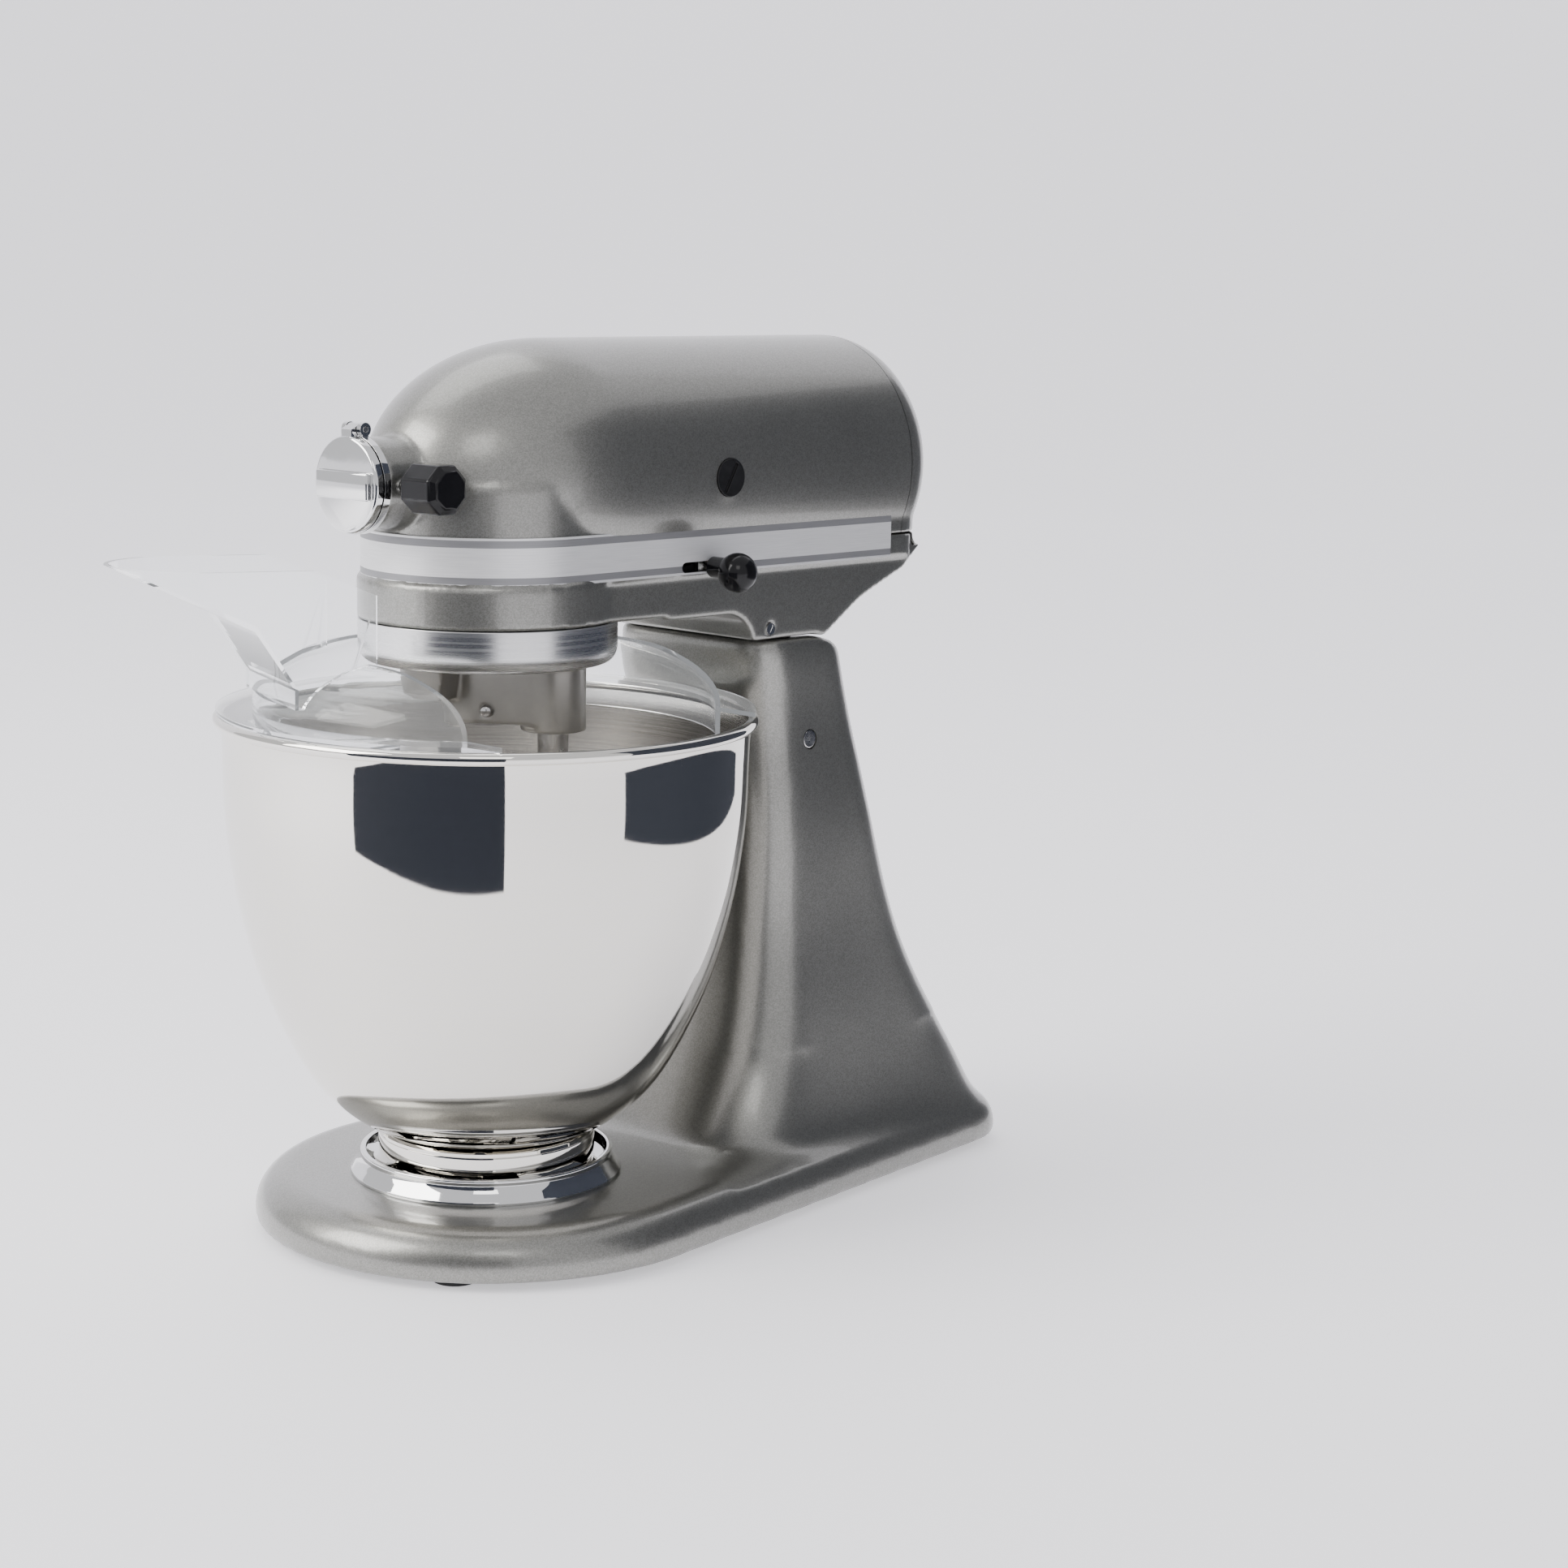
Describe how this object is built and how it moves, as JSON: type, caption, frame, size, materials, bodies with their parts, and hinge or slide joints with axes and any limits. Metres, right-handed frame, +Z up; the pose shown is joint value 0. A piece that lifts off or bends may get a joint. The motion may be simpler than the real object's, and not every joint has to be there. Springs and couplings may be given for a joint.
{
  "type": "tilt-head stand mixer",
  "caption": "Tilt-head stand mixer with a planetary beater drive, attachment hub, twist-lock steel bowl and clear pouring shield with chute.",
  "frame": {"origin": "centre of the bounding box's bottom face, on the surface the feet stand on", "axes": "+X from the bowl towards the column, +Y across, to the left of someone who faces the attachment hub, +Z up"},
  "size_m": [0.3922, 0.2136, 0.353],
  "materials": {
    "body_paint": "fine metallic flake paint, satin-gloss",
    "foot_rubber": "matte",
    "pin_steel": "ground",
    "plate_steel": "polished",
    "screw_steel": "zinc plated",
    "bowl_steel": "mirror-polished outside, turned inside",
    "clear_plastic": "clear moulded plastic, polished",
    "band_aluminium": "brushed along its length",
    "ring_aluminium": "turned",
    "hub_chrome": "polished",
    "knob_plastic": "gloss black",
    "cap_plastic": "satin black",
    "cord_rubber": "matte",
    "planet_casting": "cast and turned",
    "shaft_steel": "ground",
    "gear_iron": "machined",
    "wheel_brass": "machined bronze",
    "copper": "copper",
    "bush_bronze": "sintered bronze",
    "bearing_steel": "ground",
    "core_iron": "stacked laminations",
    "moulded_black": "moulded",
    "board": "laminate",
    "bracket_alloy": "cast",
    "carbon": "carbon",
    "spring_steel": "wire",
    "link_steel": "stamped"
  },
  "bodies": {
    "stand": {"pedestal": "body_paint", "rubber_feet": "foot_rubber", "bowl_clamp_plate": "plate_steel", "clamp_screws": "screw_steel", "hinge_pin": "pin_steel"},
    "head": {"motor_housing": "body_paint", "gearcase": "body_paint", "rear_cover": "body_paint", "rear_cover_screw": "screw_steel", "trim_band": "band_aluminium", "drip_ring": "ring_aluminium", "ring_gear": "gear_iron", "ring_gear_screws": "screw_steel", "centre_bush": "bush_bronze", "hub_ring": "hub_chrome", "hub_cover_pin": "pin_steel", "hub_bearing": "bush_bronze", "stator_core": "core_iron", "field_coils": "copper", "motor_bearings": "bearing_steel", "gear_bracket": "bracket_alloy", "motor_end_bracket": "bracket_alloy", "speed_plate": "moulded_black", "control_board": "board", "brush_holders": "moulded_black", "carbon_brushes": "carbon", "brush_springs": "spring_steel", "brush_caps": "cap_plastic", "height_screw": "screw_steel", "cord_inlet": "cord_rubber"},
    "armature": {"armature_shaft": "shaft_steel", "armature_core": "core_iron", "armature_windings": "copper", "commutator": "copper", "cooling_fan": "moulded_black"},
    "wheel": {"wheel_shaft": "shaft_steel", "drive_pinion": "gear_iron", "worm_wheel": "wheel_brass"},
    "planetary": {"centre_shaft": "shaft_steel", "centre_gear": "gear_iron", "bevel_gear": "gear_iron", "planetary_housing": "planet_casting", "planetary_pin": "pin_steel"},
    "beater_drive": {"beater_shaft": "shaft_steel", "beater_pin": "pin_steel", "planet_pinion": "gear_iron"},
    "hub_drive": {"hub_spindle": "shaft_steel", "hub_bevel_gear": "gear_iron"},
    "hub_thumbscrew": {"hub_knob": "knob_plastic", "hub_knob_screw": "hub_chrome"},
    "hub_flap": {"hub_cover": "hub_chrome"},
    "lock_lever": {"lock_knob": "knob_plastic", "lock_link": "link_steel"},
    "speed_lever": {"speed_knob": "knob_plastic", "speed_link": "link_steel"},
    "bowl": {"bowl": "bowl_steel", "bowl_foot": "bowl_steel"},
    "shield": {"splash_shield": "clear_plastic", "pour_chute": "clear_plastic"}
  },
  "joints": [
    {"name": "head_tilt", "type": "hinge", "parent": "stand", "child": "head", "pos_m": [0.08308, 0, 0.188], "axis": [0, 1, 0], "range_deg": [0, 38]},
    {"name": "motor_spin", "type": "hinge", "parent": "head", "child": "armature", "pos_m": [0.04608, 0, 0.2995], "axis": [1, 0, 0], "continuous": true},
    {"name": "wheel_spin", "type": "hinge", "parent": "head", "child": "wheel", "pos_m": [-0.02249, 0.021, 0.27], "axis": [0, 0, 1], "continuous": true},
    {"name": "planetary_spin", "type": "hinge", "parent": "head", "child": "planetary", "pos_m": [-0.05392, 0, 0.22], "axis": [0, 0, 1], "continuous": true},
    {"name": "beater_spin", "type": "hinge", "parent": "planetary", "child": "beater_drive", "pos_m": [-0.04219, -0.02515, 0.2], "axis": [0, 0, 1], "continuous": true},
    {"name": "hub_drive_spin", "type": "hinge", "parent": "head", "child": "hub_drive", "pos_m": [-0.09392, 0, 0.2995], "axis": [1, 0, 0], "continuous": true},
    {"name": "hub_knob_turn", "type": "hinge", "parent": "head", "child": "hub_thumbscrew", "pos_m": [-0.10992, -0.02, 0.2995], "axis": [0, -1, 0], "range_deg": [0, 1080]},
    {"name": "hub_cover_lift", "type": "hinge", "parent": "head", "child": "hub_flap", "pos_m": [-0.11932, 0, 0.3201], "axis": [0, 1, 0], "range_deg": [0, 105]},
    {"name": "lock_slide", "type": "slide", "parent": "head", "child": "lock_lever", "axis": [-1, 0, 0], "range_m": [0, 0.014]},
    {"name": "speed_slide", "type": "slide", "parent": "head", "child": "speed_lever", "axis": [-1, 0, 0], "range_m": [0, 0.046]},
    {"name": "bowl_twist", "type": "hinge", "parent": "stand", "child": "bowl", "pos_m": [-0.05392, 0, 0.05], "axis": [0, 0, 1], "range_deg": [0, 30]},
    {"name": "shield_turn", "type": "hinge", "parent": "bowl", "child": "shield", "pos_m": [-0.05392, 0, 0.21], "axis": [0, 0, 1], "range_deg": [-30, 30]}
  ],
  "couplings": [
    {"joint": "wheel_spin", "follows": "motor_spin", "ratio": -0.083333},
    {"joint": "planetary_spin", "follows": "motor_spin", "ratio": 0.029167},
    {"joint": "beater_spin", "follows": "motor_spin", "ratio": -0.10625},
    {"joint": "hub_drive_spin", "follows": "motor_spin", "ratio": -0.0625}
  ]
}
